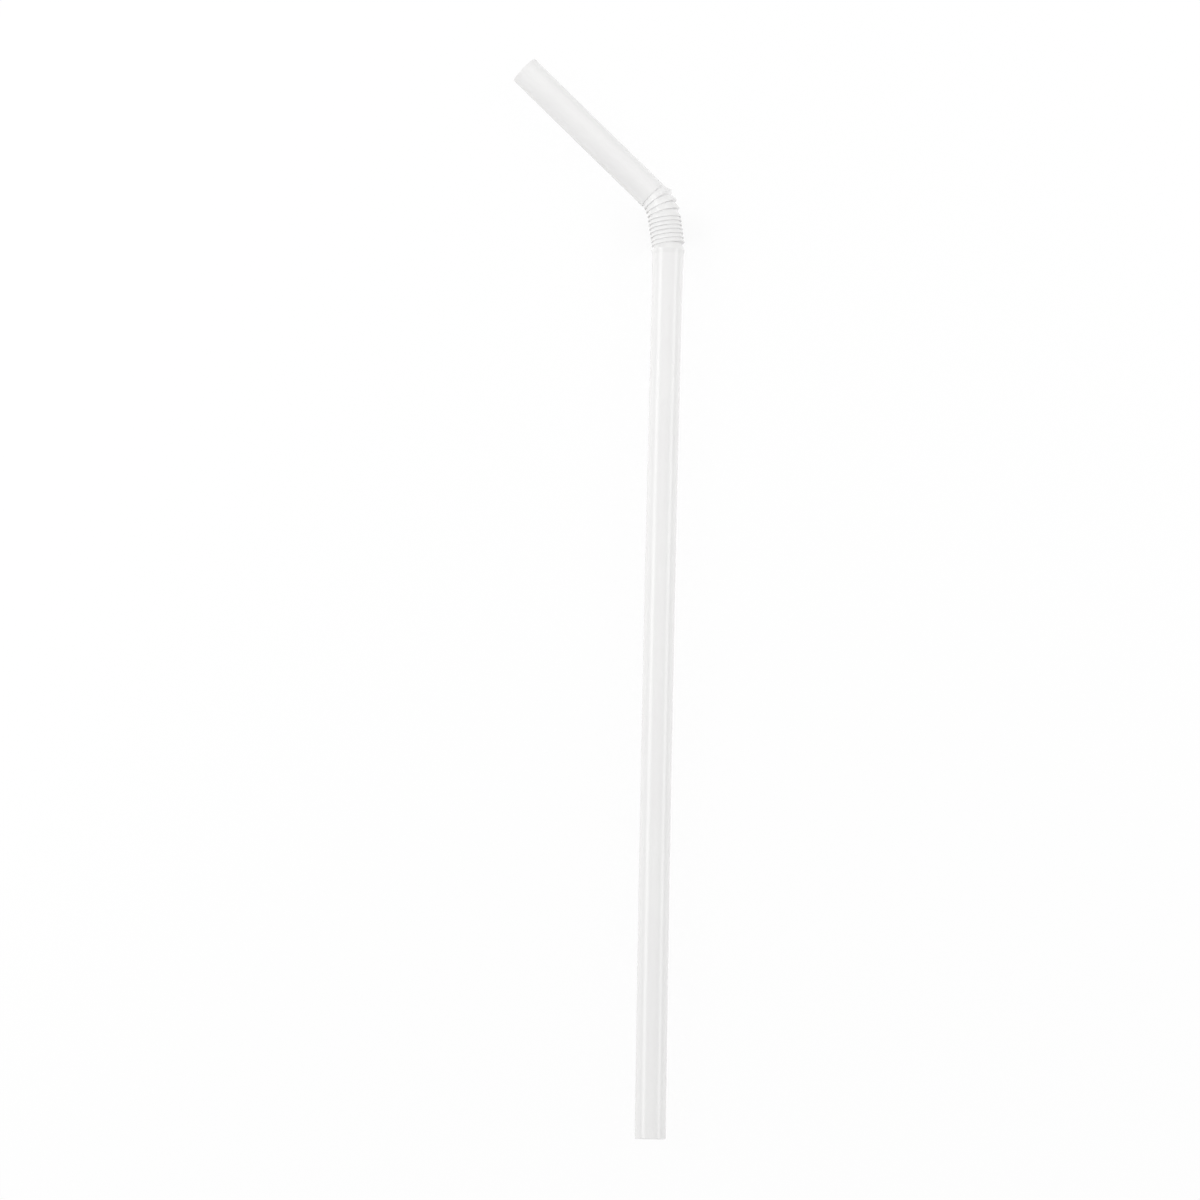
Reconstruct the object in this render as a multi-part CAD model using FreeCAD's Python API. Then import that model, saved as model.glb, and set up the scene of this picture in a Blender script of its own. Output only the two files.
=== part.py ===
import FreeCAD, Part
import math
import os

# Bendy drinking straw: one thin plastic tube with pleats, lying on its side. Sizes are in millimetres.
# The long leg runs along +Y, and the short leg turns from it towards -X.

# Tube
tube_diameter = 5.8  # outside, on both straight legs
wall = 0.14
long_leg_length = 168.3  # from its open end to the first crest
short_leg_length = 34.5  # from the last groove to the mouth

# Swell of the long leg just before the first crest
swell_height = 0.1
swell_start = 7.0
swell_end = 0.9

# Flare of the short leg where it begins
flare_height = 0.04
flare_length = 1.6

# Pleats: after each crest a long flank closes in to a groove, and a short one opens out to the next crest
crest_height = 0.3  # above the tube's skin
groove_depth = 0.55  # below the crests
last_groove_depth = 0.65  # where the short leg begins
long_flank = 1.25  # along the tube, from a crest to its groove
nest_gap = 0.055  # air between two pleats that are pushed shut

# Bend: the gaps after the crests stay shut inside it, and each opens outside it by its share of the angle
# The last gap ends at the short leg, whose skin starts in line with the crests inside the bend
bend_angle = 46.5
bend_shares = (18, 1, 1, 0, 0, 0, 0, 18, 17, 24, 21)

arc_points = 3  # round the thick side of a fold
same_direction = 1e-9  # how near two rings' axes are where they run on as one

tube_radius = tube_diameter / 2
crest_radius = tube_radius + crest_height
groove_radius = crest_radius - groove_depth
last_groove_radius = crest_radius - last_groove_depth

# The wall turns at each fold: its thick side is an arc about the crease on its other side
crest_crease = crest_radius - wall
crease_step = crest_crease - groove_radius
flank_slope = math.atan2(crease_step, long_flank) + math.asin(wall / math.hypot(crease_step, long_flank))
shut_pitch = (2 * wall + nest_gap) / math.sin(flank_slope)


def point_at(place, across, along):
    """The point that lies across and along the tube from a place, which is x, y and the tube's lean there."""
    x, y, lean = place
    c, s = math.cos(lean), math.sin(lean)
    return x + across * c - along * s, y + across * s + along * c


def pleat_places():
    """The place of each crest on the tube's axis, and last the place where the short leg begins."""
    place = (0.0, long_leg_length, 0.0)
    places = [place]
    for number, share in enumerate(bend_shares, 1):
        pivot = point_at(place, -crest_radius, shut_pitch)
        lean = place[2] + math.radians(bend_angle) * share / sum(bend_shares)
        reach = tube_radius if number == len(bend_shares) else crest_radius
        place = (*point_at((*pivot, lean), reach, 0), lean)
        places.append(place)
    return places


def skin_corners(places, side, depth):
    """What one skin passes on one side of the bend, as x, y, lean and the radius that it turns about there.

    side is 1 outside the bend and -1 inside it, where the corners are mirrored. depth is 0 for the outer
    skin and the wall for the inner one. A radius is negative where the wall turns outwards.
    """
    first, last = places[0], places[-1]
    corners = [
        (first, tube_radius - depth, -long_leg_length, 0),
        (first, tube_radius - depth, -swell_start, 0),
        (first, tube_radius + swell_height - depth, -swell_end, 0),
    ]
    for place in places[:-1]:
        is_last = place == places[-2]
        corners.append((place, crest_crease, 0, wall - depth))
        corners.append((place, last_groove_radius if is_last else groove_radius, long_flank, -depth))
    corners.append((last, tube_radius + flare_height - depth, 0, 0))
    corners.append((last, tube_radius - depth, flare_length, 0))
    corners.append((last, tube_radius - depth, short_leg_length, 0))

    found = []
    for place, across, along, radius in corners:
        x, y = point_at(place, side * across, along)
        found.append((side * x, y, side * place[2], radius))
    return found


def heading(start, end):
    """The direction of the flank that leaves one corner and reaches the next."""
    dx, dy = end[0] - start[0], end[1] - start[1]
    raw = math.atan2(dy, dx) - math.asin((end[3] - start[3]) / math.hypot(dx, dy))
    axis = math.pi / 2 + start[2]
    return axis + math.remainder(raw - axis, 2 * math.pi)


def skin_line(places, side, depth):
    """The points of one skin on one side of the bend, from the long leg's open end to the mouth."""
    corners = skin_corners(places, side, depth)
    headings = [heading(a, b) for a, b in zip(corners, corners[1:])]
    arrivals = headings[:1] + headings
    departures = headings + headings[-1:]
    points = []
    for (x, y, _, radius), arrival, departure in zip(corners, arrivals, departures):
        turns = [n / (arc_points - 1) for n in range(arc_points)] if radius else [0]
        for turn in turns:
            normal = arrival + (departure - arrival) * turn - math.pi / 2
            points.append((side * (x + radius * math.cos(normal)), y + radius * math.sin(normal)))
    return points


def ring(inside, outside):
    """The circle round the tube that passes a point inside the bend and one outside it."""
    dx, dy = outside[0] - inside[0], outside[1] - inside[1]
    circle = Part.makeCircle(math.hypot(dx, dy) / 2)
    lying = FreeCAD.Rotation(FreeCAD.Vector(1, 0, 0), -90)
    turned = FreeCAD.Rotation(FreeCAD.Vector(0, 0, 1), math.degrees(math.atan2(dy, dx)))
    centre = FreeCAD.Vector((inside[0] + outside[0]) / 2, (inside[1] + outside[1]) / 2, 0)
    circle.Placement = FreeCAD.Placement(centre, turned.multiply(lying))
    return circle


def skin_rings(places, depth):
    """The rings of one skin, from the long leg's open end to the mouth."""
    return [ring(a, b) for a, b in zip(skin_line(places, -1, depth), skin_line(places, 1, depth))]


def band(start, end):
    """The face between two rings: a true cylinder on a straight leg, and a ruled band elsewhere."""
    first, last = start.Curve, end.Curve
    if math.isclose(first.Radius, last.Radius) and first.Axis.isEqual(last.Axis, same_direction):
        return start.extrude(last.Center.sub(first.Center))
    return Part.makeRuledSurface(start, end, 1)


def make_straw():
    """The tube, set on the floor with its middle over the origin."""
    places = pleat_places()
    outer, inner = skin_rings(places, 0), skin_rings(places, wall)
    faces = [band(a, b) for rings in (outer, inner) for a, b in zip(rings, rings[1:])]
    for n in (0, -1):
        faces.append(Part.makeFace([Part.Wire(outer[n]), Part.Wire(inner[n])], "Part::FaceMakerBullseye"))
    skins = Part.makeCompound(faces)
    skins.sewShape()
    straw = Part.makeSolid(skins.Shells[0])
    box = straw.optimalBoundingBox(False)
    straw.translate(FreeCAD.Vector(-box.Center.x, -box.Center.y, -box.ZMin))
    return straw


os.makedirs("parts", exist_ok=True)
straw = make_straw()
straw.exportStep("parts/straw.step")
print("closed pitch", round(shut_pitch, 3), "volume", round(straw.Volume, 1), "valid", straw.isValid())
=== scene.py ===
import math

import bpy
from mathutils import Euler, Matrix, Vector


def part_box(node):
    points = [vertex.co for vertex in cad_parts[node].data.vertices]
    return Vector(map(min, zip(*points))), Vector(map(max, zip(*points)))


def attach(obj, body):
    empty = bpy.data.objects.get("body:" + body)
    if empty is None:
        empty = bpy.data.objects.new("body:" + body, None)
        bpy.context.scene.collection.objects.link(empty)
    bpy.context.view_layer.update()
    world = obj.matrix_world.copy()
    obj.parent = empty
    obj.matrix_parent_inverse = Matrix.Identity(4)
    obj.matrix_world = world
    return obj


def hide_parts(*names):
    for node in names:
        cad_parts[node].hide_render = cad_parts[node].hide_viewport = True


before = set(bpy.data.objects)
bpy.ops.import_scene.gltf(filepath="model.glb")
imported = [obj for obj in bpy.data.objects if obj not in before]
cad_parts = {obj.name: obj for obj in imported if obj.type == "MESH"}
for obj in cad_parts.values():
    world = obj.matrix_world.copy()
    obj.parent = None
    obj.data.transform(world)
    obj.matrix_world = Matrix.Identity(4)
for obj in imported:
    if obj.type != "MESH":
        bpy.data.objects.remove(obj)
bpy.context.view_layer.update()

mm = 0.001

# A thin extruded tube on its side: the long leg runs along +Y and the short leg turns towards -X
straw = {
    "tubeDiameter": 5.8 * mm,     # outside, on both straight legs
    "wall": 0.14 * mm,
    "longLeg": 168.3 * mm,        # from its open end to the first crest
    "shortLeg": 34.5 * mm,        # from the last groove to the mouth
    "swellHeight": 0.1 * mm,      # the long leg swells a little just before the first crest
    "swellStart": 7.0 * mm,
    "swellEnd": 0.9 * mm,
    "swellBlend": 0.3 * mm,       # radius of the corner between the swell and the first crest
    "flareHeight": 0.04 * mm,     # the short leg begins a little wider
    "flareLength": 1.6 * mm,
    "crestHeight": 0.3 * mm,      # of the pleats, above the tube's skin
    "grooveDepth": 0.55 * mm,     # below the crests
    "lastGrooveDepth": 0.65 * mm,
    "longFlank": 1.25 * mm,       # along the tube, from a crest to its groove
    "nestGap": 0.055 * mm,        # air between two pleats that are pushed shut
    "bendAngle": math.radians(46.5),
    "bendShares": (18, 1, 1, 0, 0, 0, 0, 18, 17, 24, 21),  # how far each gap opens outside the bend
    "creaseRadius": 0.02 * mm,    # of a fold's thin side
    "cutRadius": 0.03 * mm,       # round the edges of both open ends
    "cutMargin": 0.2 * mm,        # from an open end to the first plain ring
    "evenStart": 3,               # margins from an open end to the first evenly spaced ring
    "bow": 0.28 * mm,             # sideways, in the middle of the long leg
    "sides": 128,
    "foldSteps": 6,               # round each fold
    "flankSteps": 3,              # between two folds
    "cutSteps": 4,                # round each cut edge
    "swellSteps": 8,
    "flareSteps": 4,
    "legStep": 6 * mm,            # between two rings of a straight leg
    "weld": 0.0001 * mm,          # joins the sheet's first and last rows of points
}
tubeRadius = straw["tubeDiameter"] / 2
crestRadius = tubeRadius + straw["crestHeight"]


def addNode(tree, kind, inputs=None, **settings):
    # one node with its settings, its fixed values and its links
    node = tree.nodes.new(kind)
    for name, value in settings.items():
        setattr(node, name, value)
    for key, value in (inputs or {}).items():
        if isinstance(value, bpy.types.NodeSocket):
            tree.links.new(value, node.inputs[key])
        else:
            node.inputs[key].default_value = value
    return node


def calculate(tree, operation, first, second=0.0):
    return addNode(tree, "ShaderNodeMath", {0: first, 1: second}, operation=operation).outputs[0]


def mixColours(tree, share, first, second, way="MIX"):
    # a Mix node's colour sockets are the seventh and eighth, and its colour comes out of the third
    inputs = {0: share, 6: first, 7: second}
    return addNode(tree, "ShaderNodeMix", inputs, data_type="RGBA", blend_type=way).outputs[2]


def newMaterial(name):
    material = bpy.data.materials.new(name)
    material.use_nodes = True
    material.node_tree.nodes.clear()
    return material


def toLinear(hexColour):
    # sRGB hex to the linear values that Blender's sockets take
    values = [int(hexColour[n:n + 2], 16) / 255 for n in (1, 3, 5)]
    return (*[v / 12.92 if v <= 0.04045 else ((v + 0.055) / 1.055) ** 2.4 for v in values], 1)


def pointAt(place, across, along):
    # a place is x, y and the tube's lean there
    x, y, lean = place
    c, s = math.cos(lean), math.sin(lean)
    return x + across * c - along * s, y + across * s + along * c


def pleatPlaces():
    # each crest's place on the tube's axis, and last the place where the short leg begins
    wall, run, shares = straw["wall"], straw["longFlank"], straw["bendShares"]
    rise = straw["grooveDepth"] - wall
    slope = math.atan2(rise, run) + math.asin(wall / math.hypot(rise, run))
    shutPitch = (2 * wall + straw["nestGap"]) / math.sin(slope)
    place = (0, straw["longLeg"], 0)
    places = [place]
    for number, share in enumerate(shares, 1):
        pivot = pointAt(place, -crestRadius, shutPitch)
        lean = place[2] + straw["bendAngle"] * share / sum(shares)
        reach = tubeRadius if number == len(shares) else crestRadius
        place = (*pointAt((*pivot, lean), reach, 0), lean)
        places.append(place)
    return places


def foldCorners(places, side, depth):
    # the folds that one skin passes on one side of the bend: x, y, lean and the radius it turns about
    # side is 1 outside the bend and -1 inside it, and there the corners are mirrored
    thin, thick = straw["creaseRadius"], straw["creaseRadius"] + straw["wall"]
    blend = straw["swellBlend"]
    swell = tubeRadius + straw["swellHeight"] + blend
    corners = [(places[0], swell, -straw["swellEnd"], -blend - depth)]
    for place in places[:-1]:
        grooveDepth = straw["lastGrooveDepth"] if place == places[-2] else straw["grooveDepth"]
        corners.append((place, crestRadius - thick, 0, thick - depth))
        corners.append((place, crestRadius - grooveDepth + thin, straw["longFlank"], -thin - depth))
    corners.append((places[-1], tubeRadius + straw["flareHeight"] - thick, 0, thick - depth))
    found = []
    for place, across, along, radius in corners:
        x, y = pointAt(place, side * across, along)
        found.append((side * x, y, side * place[2], radius))
    return found


def heading(start, end):
    # the direction of the flank that leaves one fold and reaches the next
    dx, dy = end[0] - start[0], end[1] - start[1]
    raw = math.atan2(dy, dx) - math.asin((end[3] - start[3]) / math.hypot(dx, dy))
    axis = math.pi / 2 + start[2]
    return axis + math.remainder(raw - axis, 2 * math.pi)


def pleatPoints(places, side, depth):
    # one skin from the swell to the short leg, on one side of the bend
    corners = foldCorners(places, side, depth)
    headings = [heading(a, b) for a, b in zip(corners, corners[1:])]
    arrivals = [math.pi / 2] + headings
    departures = headings + [math.pi / 2 + side * places[-1][2]]
    steps, points = straw["foldSteps"], []
    for (x, y, _, radius), arrival, departure in zip(corners, arrivals, departures):
        arc = []
        for n in range(steps + 1):
            normal = arrival + (departure - arrival) * n / steps - math.pi / 2
            arc.append((side * (x + radius * math.cos(normal)), y + radius * math.sin(normal)))
        if points:
            (x0, y0), (x1, y1), count = points[-1], arc[0], straw["flankSteps"]
            points += [(x0 + (x1 - x0) * n / count, y0 + (y1 - y0) * n / count) for n in range(1, count)]
        points += arc
    return points


def ease(t):
    # rises from 0 to 1 with no corner at either end
    return t * t * (3 - 2 * t)


def legPoints(place, side, start, end, radiusAt, step):
    # one skin of a stretch that doesn't turn, without its last point
    count = max(1, round(abs(end - start) / step))
    alongs = [start + (end - start) * n / count for n in range(count)]
    return [pointAt(place, side * radiusAt(along), along) for along in alongs]


def cutPoints(place, side, depth, end, inward):
    # the rounded edge of an open end, from the flat rim into the tube
    cut, steps = straw["cutRadius"], straw["cutSteps"]
    outwards = -1 if depth else 1
    middle = tubeRadius - depth - outwards * cut
    points = []
    for n in range(steps + 1):
        turn = math.pi / 2 * n / steps
        across = middle + outwards * cut * math.sin(turn)
        points.append(pointAt(place, side * across, end + inward * cut * (1 - math.cos(turn))))
    return points


def skinPoints(places, side, depth):
    # one skin on one side of the bend, from the long leg's open end to the mouth
    radius = tubeRadius - depth
    longLeg, shortLeg = places[0], places[-1]
    longEnd, mouth = -straw["longLeg"], straw["shortLeg"]
    swellStart, swellEnd = -straw["swellStart"], -straw["swellEnd"]

    def plain(along):
        return radius

    def swelling(along):
        return radius + straw["swellHeight"] * ease((along - swellStart) / (swellEnd - swellStart))

    def narrowing(along):
        return radius + straw["flareHeight"] * ease(1 - along / straw["flareLength"])

    pleats = pleatPoints(places, side, depth)
    swellStop = pleats[0][1] - longLeg[1]
    swellStep = (swellStop - swellStart) / straw["swellSteps"]
    flareStep = straw["flareLength"] / straw["flareSteps"]
    margin = straw["cutMargin"]
    evenStart = straw["evenStart"] * margin
    points = cutPoints(longLeg, side, depth, longEnd, 1)
    points += legPoints(longLeg, side, longEnd + margin, longEnd + evenStart, plain, evenStart)
    points += legPoints(longLeg, side, longEnd + evenStart, swellStart, plain, straw["legStep"])
    points += legPoints(longLeg, side, swellStart, swellStop, swelling, swellStep)
    points += pleats
    points += legPoints(shortLeg, side, flareStep, straw["flareLength"], narrowing, flareStep)
    points += legPoints(shortLeg, side, straw["flareLength"], mouth - evenStart, plain, straw["legStep"])
    points += legPoints(shortLeg, side, mouth - evenStart, mouth - margin, plain, evenStart)
    points.append(pointAt(shortLeg, side * radius, mouth - margin))
    points += cutPoints(shortLeg, side, depth, mouth, -1)[::-1]
    return points


def strawRings():
    # each ring's centre, half width, distance along the straw and depth in the bore
    # they go up the outer skin and down the inner one, and the first comes again at the end
    places = pleatPlaces()
    rings = []
    for depth in (0, straw["wall"]):
        skin, travelled, last = [], 0, None
        for inside, outside in zip(skinPoints(places, -1, depth), skinPoints(places, 1, depth)):
            a, b = Vector(inside), Vector(outside)
            centre = (a + b) / 2
            travelled += (centre - last).length if last else 0
            last = centre
            skin.append((centre, (b - a) / 2, travelled))
        for centre, half, distance in skin[::-1] if depth else skin:
            deep = min(distance, travelled - distance) if depth else 0
            rings.append((centre, half, distance, deep))
    return rings + rings[:1]


def ringPlan():
    # the rings as loose points that carry what the node tree reads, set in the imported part's box
    low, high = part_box("straw")
    # the first crest touches the box's +X side, and the long leg's open end its -Y side
    origin = Vector((high.x - crestRadius, low.y, low.z + crestRadius))
    rings = strawRings()
    mesh = bpy.data.meshes.new("ringPlan")
    mesh.from_pydata([origin + Vector((*ring[0], 0)) for ring in rings], [], [])
    mesh.attributes.new("across", "FLOAT_VECTOR", "POINT")
    mesh.attributes.new("travelled", "FLOAT", "POINT")
    mesh.attributes.new("intoBore", "FLOAT", "POINT")
    for n, (_, half, distance, deep) in enumerate(rings):
        mesh.attributes["across"].data[n].vector = (*half, 0)
        mesh.attributes["travelled"].data[n].value = distance
        mesh.attributes["intoBore"].data[n].value = deep
    return bpy.data.objects.new("ringPlan", mesh)


def strawTree():
    # lays a closed sheet of quads over the rings; where a ring is, is the plan's affair
    tree = bpy.data.node_groups.new("tubeOverRings", "GeometryNodeTree")
    sockets = tree.interface
    sockets.new_socket("Geometry", in_out="INPUT", socket_type="NodeSocketGeometry")
    sockets.new_socket("Sides", in_out="INPUT", socket_type="NodeSocketInt")
    for name in ("Long Leg", "Bow", "Weld"):
        sockets.new_socket(name, in_out="INPUT", socket_type="NodeSocketFloat")
    sockets.new_socket("Material", in_out="INPUT", socket_type="NodeSocketMaterial")
    sockets.new_socket("Geometry", in_out="OUTPUT", socket_type="NodeSocketGeometry")
    given = addNode(tree, "NodeGroupInput").outputs
    plan = given["Geometry"]

    def sample(kind, value, index):
        inputs = {"Geometry": plan, "Value": value, "Index": index}
        return addNode(tree, "GeometryNodeSampleIndex", inputs, data_type=kind, clamp=True).outputs[0]

    def named(kind, name):
        return addNode(tree, "GeometryNodeInputNamedAttribute", {"Name": name}, data_type=kind).outputs[0]

    def store(skin, kind, name, value):
        inputs = {"Geometry": skin, "Name": name, "Value": value}
        node = addNode(tree, "GeometryNodeStoreNamedAttribute", inputs, data_type=kind, domain="POINT")
        return node.outputs[0]

    # the grid's points run along the rings first, then on to the next side
    # half a point more keeps the side's number clear of rounding
    size = addNode(tree, "GeometryNodeAttributeDomainSize", {"Geometry": plan}, component="MESH")
    rings = size.outputs[0]
    columns = calculate(tree, "ADD", given["Sides"], 1.0)
    sheet = addNode(tree, "GeometryNodeMeshGrid", {"Vertices X": columns, "Vertices Y": rings})
    index = addNode(tree, "GeometryNodeInputIndex").outputs[0]
    ring = calculate(tree, "FLOORED_MODULO", index, rings)
    column = calculate(tree, "DIVIDE", calculate(tree, "ADD", index, 0.5), rings)
    column = calculate(tree, "FLOOR", column)
    angle = calculate(tree, "MULTIPLY", calculate(tree, "DIVIDE", column, given["Sides"]), 2 * math.pi)
    upwards, sideways = calculate(tree, "SINE", angle), calculate(tree, "COSINE", angle)

    centre = sample("FLOAT_VECTOR", addNode(tree, "GeometryNodeInputPosition").outputs[0], ring)
    across = sample("FLOAT_VECTOR", named("FLOAT_VECTOR", "across"), ring)
    travelled = sample("FLOAT", named("FLOAT", "travelled"), ring)
    intoBore = sample("FLOAT", named("FLOAT", "intoBore"), ring)
    radius = addNode(tree, "ShaderNodeVectorMath", {0: across}, operation="LENGTH").outputs["Value"]
    inputs = {0: across, "Scale": sideways}
    flat = addNode(tree, "ShaderNodeVectorMath", inputs, operation="SCALE").outputs[0]
    height = calculate(tree, "MULTIPLY", radius, upwards)

    # the long leg bows a little towards -X: nothing at both its ends and most in its middle
    # a share times its complement is a quarter there, so the bow is taken four times
    share = calculate(tree, "MINIMUM", calculate(tree, "DIVIDE", travelled, given["Long Leg"]), 1.0)
    bowing = calculate(tree, "MULTIPLY", share, calculate(tree, "SUBTRACT", 1.0, share))
    shift = calculate(tree, "MULTIPLY", bowing, calculate(tree, "MULTIPLY", given["Bow"], -4.0))
    rise = addNode(tree, "ShaderNodeCombineXYZ", {"X": shift, "Z": height}).outputs[0]
    place = addNode(tree, "ShaderNodeVectorMath", {0: centre, 1: flat}, operation="ADD").outputs[0]
    place = addNode(tree, "ShaderNodeVectorMath", {0: place, 1: rise}, operation="ADD").outputs[0]
    inputs = {"Geometry": sheet.outputs["Mesh"], "Position": place}
    skin = addNode(tree, "GeometryNodeSetPosition", inputs).outputs[0]

    # the material's lines follow the straightened tube, and a painted shade darkens the bore's colour the
    # deeper it is
    inputs = {"X": calculate(tree, "MULTIPLY", radius, sideways), "Y": travelled, "Z": height}
    straight = addNode(tree, "ShaderNodeCombineXYZ", inputs).outputs[0]
    skin = store(skin, "FLOAT_VECTOR", "straightTube", straight)
    skin = store(skin, "FLOAT", "intoBore", intoBore)

    inputs = {"Geometry": skin, "Distance": given["Weld"]}
    skin = addNode(tree, "GeometryNodeMergeByDistance", inputs).outputs[0]
    skin = addNode(tree, "GeometryNodeFlipFaces", {"Mesh": skin}).outputs[0]
    skin = addNode(tree, "GeometryNodeSetShadeSmooth", {"Geometry": skin}).outputs[0]
    inputs = {"Geometry": skin, "Material": given["Material"]}
    skin = addNode(tree, "GeometryNodeSetMaterial", inputs).outputs[0]
    addNode(tree, "NodeGroupOutput", {"Geometry": skin})
    return tree


def makeStraw(material):
    plan = ringPlan()
    bpy.context.scene.collection.objects.link(plan)
    tree = strawTree()
    modifier = plan.modifiers.new("tube", "NODES")
    modifier.node_group = tree
    values = {
        "Sides": straw["sides"], "Long Leg": straw["longLeg"], "Bow": straw["bow"],
        "Weld": straw["weld"], "Material": material}
    for socket in tree.interface.items_tree:
        if socket.item_type == "SOCKET" and socket.in_out == "INPUT" and socket.name in values:
            modifier[socket.identifier] = values[socket.name]
    evaluated = plan.evaluated_get(bpy.context.evaluated_depsgraph_get())
    mesh = bpy.data.meshes.new_from_object(evaluated)
    bpy.data.objects.remove(plan)
    mesh.materials.pop(index=0)  # the empty slot that a new grid comes with
    mesh.name = "straw_skin"
    piece = bpy.data.objects.new("straw_skin", mesh)
    bpy.context.scene.collection.objects.link(piece)
    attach(piece, "root")
    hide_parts("straw")
    print("straw:", len(mesh.vertices), "points,", len(mesh.polygons), "faces")


plastic = {
    "colour": "#F1F0F0",
    "paleColour": "#F5F5F4",      # where the wall is a little thinner
    "roughness": (0.23, 0.27),
    "lineSpacing": 0.25 * mm,     # between the faint lines that the die leaves along the tube
    "lineStretch": 40,            # how much longer than wide the lines are
    "lineDetail": 1.0,
    "lineHeight": 0.0001 * mm,
    "cloudSize": 9 * mm,          # of the slow change in the wall's thickness
    "cloudDetail": 2.0,
    "refraction": 1.49,
    "bleed": 0.3,                 # share of the light that scatters inside the wall
    "bleedDepth": 0.1 * mm,
    "letsThrough": 0.96,          # share of the light that passes each skin of the thin wall
    "paintedBoreShade": 0.5,             # painted shade: the colour deep in the bore, darkened where less light comes in
    "boreFade": 9 * mm,           # from an open end to that full painted shade
}


def extrudedPolypropylene():
    # milky and thin, with a soft gloss and faint lines along the tube: light comes through its wall
    material = newMaterial("extrudedPolypropylene")
    tree = material.node_tree
    straight = addNode(tree, "ShaderNodeAttribute", attribute_name="straightTube").outputs["Vector"]
    inputs = {"Vector": straight, "Scale": 1 / plastic["cloudSize"], "Detail": plastic["cloudDetail"]}
    clouds = addNode(tree, "ShaderNodeTexNoise", inputs).outputs["Fac"]
    inputs = {"Vector": straight, "Scale": (1, 1 / plastic["lineStretch"], 1)}
    drawn = addNode(tree, "ShaderNodeMapping", inputs).outputs[0]
    inputs = {"Vector": drawn, "Scale": 1 / plastic["lineSpacing"], "Detail": plastic["lineDetail"]}
    lines = addNode(tree, "ShaderNodeTexNoise", inputs).outputs["Fac"]

    colour = mixColours(tree, clouds, toLinear(plastic["colour"]), toLinear(plastic["paleColour"]))
    # painted shade in the bore: the base colour darkens with the depth from the nearest open end
    depth = addNode(tree, "ShaderNodeAttribute", attribute_name="intoBore").outputs["Fac"]
    inputs = {
        "Value": depth, "From Max": plastic["boreFade"], "To Min": 1.0, "To Max": plastic["paintedBoreShade"]}
    shade = addNode(tree, "ShaderNodeMapRange", inputs).outputs[0]
    low, high = plastic["roughness"]
    inputs = {"Value": lines, "To Min": low, "To Max": high}
    rough = addNode(tree, "ShaderNodeMapRange", inputs).outputs[0]
    inputs = {"Height": lines, "Distance": plastic["lineHeight"], "Strength": 1.0}
    bump = addNode(tree, "ShaderNodeBump", inputs).outputs[0]
    surface = addNode(tree, "ShaderNodeBsdfPrincipled", {
        "Base Color": mixColours(tree, 1.0, colour, shade, "MULTIPLY"),
        "Roughness": rough, "Normal": bump, "IOR": plastic["refraction"],
        "Subsurface Weight": plastic["bleed"], "Subsurface Radius": (1, 1, 1),
        "Subsurface Scale": plastic["bleedDepth"]}).outputs[0]

    # lamps and sky reach a pleat through its neighbours, so no fold is dark and the shadow is faint
    path = addNode(tree, "ShaderNodeLightPath").outputs
    lit = calculate(tree, "MAXIMUM", path["Is Shadow Ray"], path["Is Diffuse Ray"])
    share = calculate(tree, "MULTIPLY", lit, plastic["letsThrough"])
    clear = addNode(tree, "ShaderNodeBsdfTransparent").outputs[0]
    wall = addNode(tree, "ShaderNodeMixShader", {0: share, 1: surface, 2: clear}).outputs[0]
    addNode(tree, "ShaderNodeOutputMaterial", {"Surface": wall})
    return material


studio = {
    "floorSize": 6.0,             # metres, as are the strip lights' sizes
    "floorColour": "#FFFFFF",     # as the camera and reflections see it
    "floorBounce": "#D8D8D8",     # as it lights the straw from below
    "floorGlow": 0.85,            # share of its look that is plain white, and the rest takes the shadow
    "skyTop": 0.605,              # brightness overhead
    "skyRim": 0.30,               # and at the horizon
    "skyRimHeight": 0.45,         # where the sky has its full brightness, as the sine of that height
    "stripDistance": 0.6,
    "stripLength": 0.75,
    "stripMiddle": 0.22,          # along Y: they reach past the pleats, and light the short leg too
    "leftHeight": 33.0,           # degrees above the floor
    "leftWidth": 0.26,
    "leftBrightness": 3.4,
    "rightHeight": 28.0,
    "rightWidth": 0.24,
    "rightBrightness": 3.0,
}


def paperFloor():
    # matt white paper: the camera and reflections see mostly plain white, with the straw's faint shadow
    material = newMaterial("whitePaper")
    tree = material.node_tree
    path = addNode(tree, "ShaderNodeLightPath").outputs
    seen = calculate(tree, "MAXIMUM", path["Is Camera Ray"], path["Is Glossy Ray"])
    colour = mixColours(tree, seen, toLinear(studio["floorBounce"]), toLinear(studio["floorColour"]))
    matt = addNode(tree, "ShaderNodeBsdfDiffuse", {"Color": colour}).outputs[0]
    white = addNode(tree, "ShaderNodeEmission", {"Strength": 1.0}).outputs[0]
    share = calculate(tree, "MULTIPLY", seen, studio["floorGlow"])
    look = addNode(tree, "ShaderNodeMixShader", {0: share, 1: matt, 2: white}).outputs[0]
    addNode(tree, "ShaderNodeOutputMaterial", {"Surface": look})
    half = studio["floorSize"] / 2
    corners = [(-half, -half, 0), (half, -half, 0), (half, half, 0), (-half, half, 0)]
    mesh = bpy.data.meshes.new("floor")
    mesh.from_pydata(corners, [], [(0, 1, 2, 3)])
    mesh.materials.append(material)
    floor = bpy.data.objects.new("floor", mesh)
    bpy.context.scene.collection.objects.link(floor)


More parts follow.
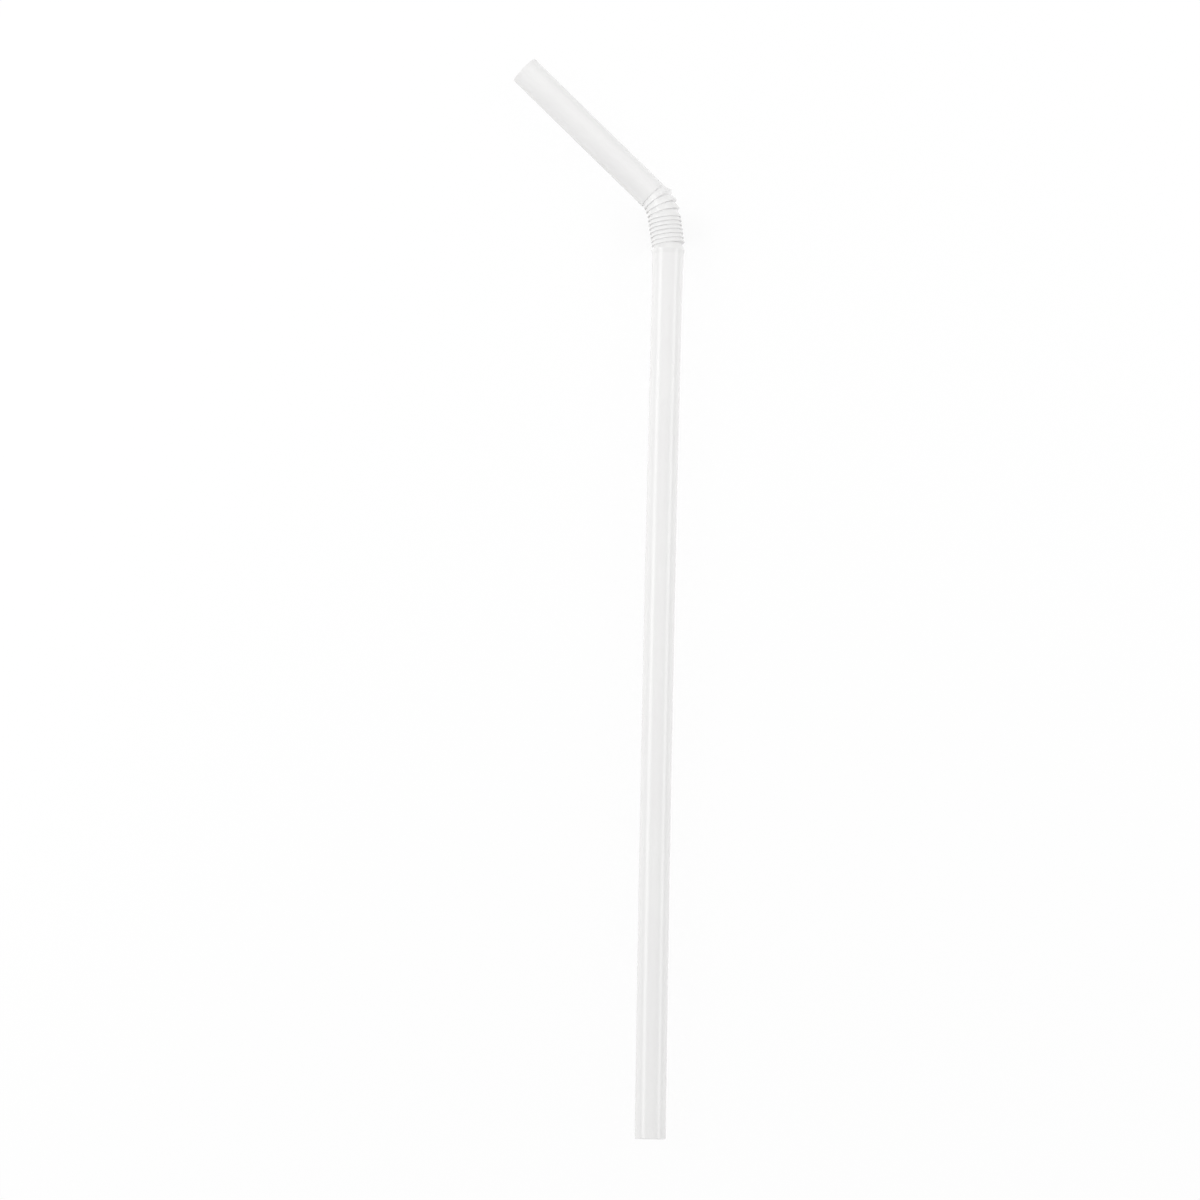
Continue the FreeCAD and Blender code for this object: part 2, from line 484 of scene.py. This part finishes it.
def softSky():
    world = bpy.data.worlds.new("softSky")
    world.use_nodes = True
    tree = world.node_tree
    tree.nodes.clear()
    direction = addNode(tree, "ShaderNodeTexCoord").outputs["Generated"]
    height = addNode(tree, "ShaderNodeSeparateXYZ", {0: direction}).outputs["Z"]
    strength = addNode(tree, "ShaderNodeMapRange", {
        "Value": height, "From Max": studio["skyRimHeight"],
        "To Min": studio["skyRim"], "To Max": studio["skyTop"]}).outputs[0]
    inputs = {"Color": (1, 1, 1, 1), "Strength": strength}
    glow = addNode(tree, "ShaderNodeBackground", inputs).outputs[0]
    addNode(tree, "ShaderNodeOutputWorld", {"Surface": glow})
    bpy.context.scene.world = world


def stripLight(name, side, height, width, brightness):
    # a long soft box beside the long leg: it gives one of its two streaks
    low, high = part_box("straw")
    target = Vector((high.x - tubeRadius, studio["stripMiddle"], high.z / 2))
    length = studio["stripLength"]
    light = bpy.data.lights.new(name, "AREA")
    light.shape = "RECTANGLE"
    light.size, light.size_y = width, length
    light.energy = brightness * math.pi * width * length  # the power that gives its face this brightness
    turn = math.radians(height)
    lamp = bpy.data.objects.new(name, light)
    away = Vector((side * math.cos(turn), 0, math.sin(turn)))
    lamp.location = target + away * studio["stripDistance"]
    lamp.rotation_euler = Euler((0, side * (math.pi / 2 - turn), 0))
    lamp.visible_camera = False
    bpy.context.scene.collection.objects.link(lamp)


view = {
    "lens": 141.8,                # millimetres, as is the sensor
    "sensor": 36.0,
    "location": (-24.55 * mm, -117.27 * mm, 887.2 * mm),
    "turn": (7.413, -1.881, 1.241),  # degrees
    "clip": (0.01, 20.0),         # metres
}


def makeCamera():
    camera = bpy.data.cameras.new("camera")
    camera.sensor_fit = "HORIZONTAL"
    camera.sensor_width = view["sensor"]
    camera.lens = view["lens"]
    camera.clip_start, camera.clip_end = view["clip"]
    holder = bpy.data.objects.new("camera", camera)
    holder.location = view["location"]
    holder.rotation_euler = Euler([math.radians(turn) for turn in view["turn"]])
    bpy.context.scene.collection.objects.link(holder)
    bpy.context.scene.camera = holder


makeStraw(extrudedPolypropylene())
paperFloor()
softSky()
stripLight("leftStrip", -1, studio["leftHeight"], studio["leftWidth"], studio["leftBrightness"])
stripLight("rightStrip", 1, studio["rightHeight"], studio["rightWidth"], studio["rightBrightness"])
makeCamera()
bpy.context.scene.view_settings.view_transform = "Standard"
print("studio: floor, sky, two strip lights and camera")
